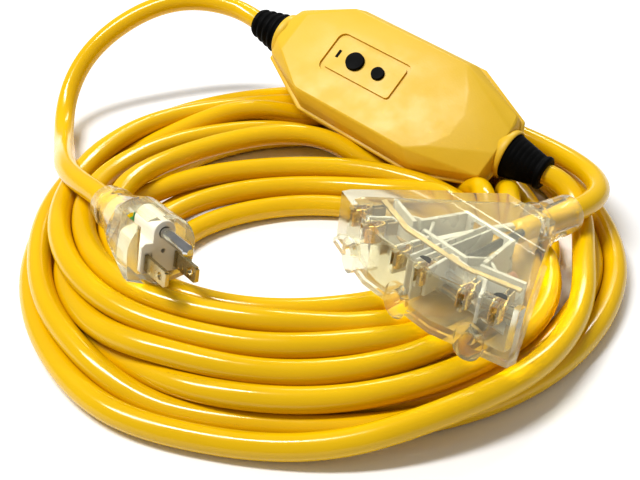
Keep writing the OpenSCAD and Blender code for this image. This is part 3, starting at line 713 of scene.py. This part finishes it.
def top_shell():
    """The button side of the housing: a faceted shell with a rounded groove round the panel."""
    levels = [(housing_plan(1.5), 0.5), (housing_plan(1.5), 2.0), (housing_plan(2.4), 8.0),
              (PLATEAU, 14.0)]
    shoulders = [(x, y, 11.2) for x in (-66, 66) for y in (-6.5, 6.5)]
    bm = hull_mesh(MODULE, shoulders + [(x, y, z) for outline, z in levels for x, y in outline])
    bevel_bmesh(bm, 1.1, 6, 4)
    shell = object_from_bmesh("top_shell", bm)
    inner = [(housing_plan(3.9), -1.0), (housing_plan(4.8), 6.0), (PLATEAU_IN, 11.6)]
    hollow = object_from_bmesh("hollow", hull_mesh(
        MODULE, [(x, y, z) for outline, z in inner for x, y in outline]))
    wide, narrow = (rounded_outline(44.2, 22.6, 4.0, GROOVE_AT, 10),
                    rounded_outline(39.6, 18.0, 1.8, GROOVE_AT, 10))
    groove = local_prisms("groove", MODULE, [ring_prism(wide, narrow, 12.9, 15.5)])
    round_hole = [prism([(x + r * math.cos(t), r * math.sin(t))
                         for t in np.linspace(0, 2 * math.pi, 48, endpoint=False)], 5, 17)
                  for x, r in ((-19, 4.85), (-5, 3.45))]
    holes = local_prisms("holes", MODULE, round_hole + [
        prism([(-30.2, -2.2), (-28.6, -2.2), (-28.6, 2.2), (-30.2, 2.2)], 5, 17)])
    carve(shell, [hollow, groove, holes])
    edge = shell.modifiers.new("edge", "BEVEL")
    edge.width, edge.segments = 0.4 * MM, 2
    edge.limit_method, edge.angle_limit = "ANGLE", math.radians(50)
    edge.harden_normals = True
    shell.data.shade_smooth()
    return shell


shell_top = finish_piece(top_shell(), "top_shell", SHELL)
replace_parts(shell_top, "gfci_top_shell")
rim_ring = local_prisms("shell_rim", MODULE,
                        [ring_prism(housing_plan(0), housing_plan(3), 0.4, 2.4)], 0.6)
rim_ring.data.shade_smooth()
finish_piece(rim_ring, "shell_rim", SHELL)

# ---------------------------------------------------------------- springs
def spring(name, start, end, radius, turns):
    """A wound spring of wire from start to end, in the module's frame."""
    start, end = np.array(start, float), np.array(end, float)
    length = np.linalg.norm(end - start)
    along = (end - start) / length
    side = np.array((0.0, 1.0, 0.0))
    over = np.cross(along, side)
    t = np.linspace(0, 1, turns * 20 + 1)
    turn = 2 * math.pi * turns * t
    line = (start + along * (0.4 + (length - 0.8) * t[:, None])
            + radius * (np.cos(turn)[:, None] * side + np.sin(turn)[:, None] * over))
    wire = tube_object(name, np.array([at(MODULE, q) for q in line]), 0.35, 8)
    finish_piece(wire, name, STEEL)
    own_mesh(wire)
    return wire


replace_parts(spring("reset_wire", (-19, 0, 0.4), (-19, 0, 10.1), 2.8, 6),
            "reset_spring")
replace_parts(spring("test_wire", (-5, 0, 2.4), (-5, 0, 10.1), 1.9, 6),
            "test_spring")
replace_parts(spring("plunger_wire", (-17.7, 0, -7.4), (-23.9, 0, -7.4), 2.3, 4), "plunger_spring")

# ---------------------------------------------------------------- tap
FACE_TURN = math.radians(18)


def on_face(k, x, y):
    """A point in plan, in front of or behind outlet face k of -1, 0, 1, in the tap's frame."""
    centre = (0, 0) if k == 0 else (-31 * math.sin(FACE_TURN) / 2,
                                    k * (18 + 31 * math.cos(FACE_TURN) / 2))
    c, s = math.cos(k * FACE_TURN), math.sin(k * FACE_TURN)
    return centre[0] + x * c - y * s, centre[1] + x * s + y * c


def face_prism(k, outline, low, high):
    """A prism drawn in the frame of outlet face k."""
    return prism([on_face(k, x, y) for x, y in outline], low, high)


def tap_mouths():
    """Folded brass mouths right behind the slots, one pair to a face."""
    folds = []
    for k in (-1, 0, 1):
        for s in (-1, 1):
            y = s * 6.35
            for q in (-1, 1):
                folds.append(face_prism(k, [(-1.4, y + q * 1.7), (-2.0, y + q * 2.3),
                                            (-5.2, y + q * 2.5), (-9.2, y + q * 1.2),
                                            (-9.2, y + q * 0.8), (-5, y + q * 2.0)][::q],
                                        14, 20.2))
            folds.append(face_prism(k, [(-9.6, y - 1.2), (-9.1, y - 1.2), (-9.1, y + 1.2),
                                        (-9.6, y + 1.2)], 14, 20.2))
    return local_prisms("tap_mouths", TAP, folds)


def tap_walls():
    """White walls that part the chambers, with a pocket behind each face."""
    def wall(points, low, high, thick):
        strips = []
        for a, b in zip(points[:-1], points[1:]):
            along = np.subtract(b, a) / np.linalg.norm(np.subtract(b, a))
            side = np.array((-along[1], along[0])) * thick / 2
            a2, b2 = np.array(a) - along * thick / 2, np.array(b) + along * thick / 2
            strips.append(prism([tuple(a2 - side), tuple(b2 - side), tuple(b2 + side),
                                 tuple(a2 + side)], low, high))
        return strips
    walls = wall([(-5, -1.4), (-46, -1.4)], 3, 20.2, 1.0) + wall(
        [(-5, 1.8), (-46, 1.8)], 3, 20.2, 1.0)
    for s in (-1, 1):
        walls += wall([(-5, s * 8.6), (-18.5, s * 6.8), (-17, s * 25), (-9, s * 30.5)],
                      9, 20.4, 1.4)
        walls += wall([(-18.5, s * 6.8), (-30, s * 15), (-26, s * 22)], 9, 19.6, 1.2)
    return local_prisms("tap_walls", TAP, walls, 0.3)


def tap_well_shade():
    """Painted shade: thin black half-round sheets where the mouths of the slot wells lie in shade,
    seen through the top.
    """
    turn = np.linspace(0, math.pi, 16)
    wells = [face_prism(k, [(-3.9 - 2.4 * math.sin(t), 6.35 + 2.5 * math.cos(t))
                            for t in turn], 23.2, 23.7) for k in (0, 1)]
    return local_prisms("tap_well_shade", TAP, wells)


finish_piece(tap_mouths(), "tap_mouths", MOUTH_BRASS)
finish_piece(tap_walls(), "tap_walls", MILKY)
# Painted shade: black sheets stand in for the shade inside the slot wells.
finish_piece(tap_well_shade(), "tap_well_shade", BUTTON)


# ---------------------------------------------------------------- plug
def plug_face_frame():
    """The plug's frame turned so that its prisms run along the blades."""
    origin, rotation = PLUG
    return origin, np.stack([rotation[:, 1], rotation[:, 2], rotation[:, 0]], 1)


PLUG_FACE = plug_face_frame()


def plug_insert():
    """The white blade carrier: a low block, a round-topped boss round the ground pin,
    sunk pads round the blades and a small hole in the middle of the face."""
    arch = [(4.7 * math.cos(t), PIN_Z + 4.7 * math.sin(t)) for t in np.linspace(0, math.pi, 20)]
    outline = ([(-8.0, -9.5), (8.0, -9.5), (9.3, -8.2), (9.3, 1.8), (8.0, 3.1), (4.7, 3.1)]
               + arch + [(-4.7, 3.1), (-8.0, 3.1), (-9.3, 1.8), (-9.3, -8.2)])
    block = local_prisms("insert", PLUG_FACE, [prism(outline, -15, 1.3)], 0.35)
    cuts = [prism(rounded_outline(3.6, 8.6, 0.8, (s * 6.35, BLADE_Z)), 0.5, 3) for s in (-1, 1)]
    cuts += [prism(rounded_outline(1.6, 6.6, 0.1, (s * 6.35, BLADE_Z)), -16, 3) for s in (-1, 1)]
    for centre_z, radius, floor_x in ((PIN_Z, 2.45, -16), (-0.5, 0.95, -3)):
        cuts.append(prism([(radius * math.cos(t), centre_z + radius * math.sin(t))
                           for t in np.linspace(0, 2 * math.pi, 32, endpoint=False)], floor_x, 3))
    carve(block, [local_prisms("cut", PLUG_FACE, [cut]) for cut in cuts])
    return block


insert = finish_piece(plug_insert(), "plug_insert", WHITE)
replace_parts(insert, "plug_blade_carrier")


# ---------------------------------------------------------------- floor and light
def make_floor():
    """A plain pale floor."""
    size = 4.0
    mesh = bpy.data.meshes.new("floor")
    mesh.from_pydata([(-size, -size, 0), (size, -size, 0), (size, size, 0), (-size, size, 0)],
                     [], [(0, 1, 2, 3)])
    floor = bpy.data.objects.new("floor", mesh)
    bpy.context.scene.collection.objects.link(floor)
    m, tree, shader = new_material("floor_paper")
    tree.links.new(ramp(tree, noise(tree, 3.0), [(0.3, (0.94,) * 3), (0.7, (0.96,) * 3)]),
                   shader.inputs["Base Color"])
    shader.inputs["Roughness"].default_value = 0.6
    mesh.materials.append(m)


def area_light(name, place, target, size, power):
    """A rectangular lamp aimed at target."""
    data = bpy.data.lights.new(name, "AREA")
    data.shape = "RECTANGLE"
    data.size, data.size_y = size
    data.energy = power
    lamp = bpy.data.objects.new(name, data)
    lamp.location = place
    lamp.rotation_euler = (Vector(target) - Vector(place)).to_track_quat("-Z", "Y").to_euler()
    bpy.context.scene.collection.objects.link(lamp)


def make_light():
    """A pale surround, a long narrow key lamp and a lamp behind the coil."""
    world = bpy.data.worlds.new("world")
    world.use_nodes = True
    world.node_tree.nodes["Background"].inputs["Color"].default_value = (1, 1, 1, 1)
    world.node_tree.nodes["Background"].inputs["Strength"].default_value = 0.28
    bpy.context.scene.world = world
    area_light("key", (-0.50, -0.05, 1.05), (0, 0, 0.03), (0.14, 0.6), 10.5)
    area_light("back", (0.25, 0.75, 0.75), (0, 0, 0.03), (0.5, 0.1), 3.2)
    bpy.context.scene.view_settings.view_transform = "Standard"
    bpy.context.scene.view_settings.look = "Medium High Contrast"


make_floor()
make_light()
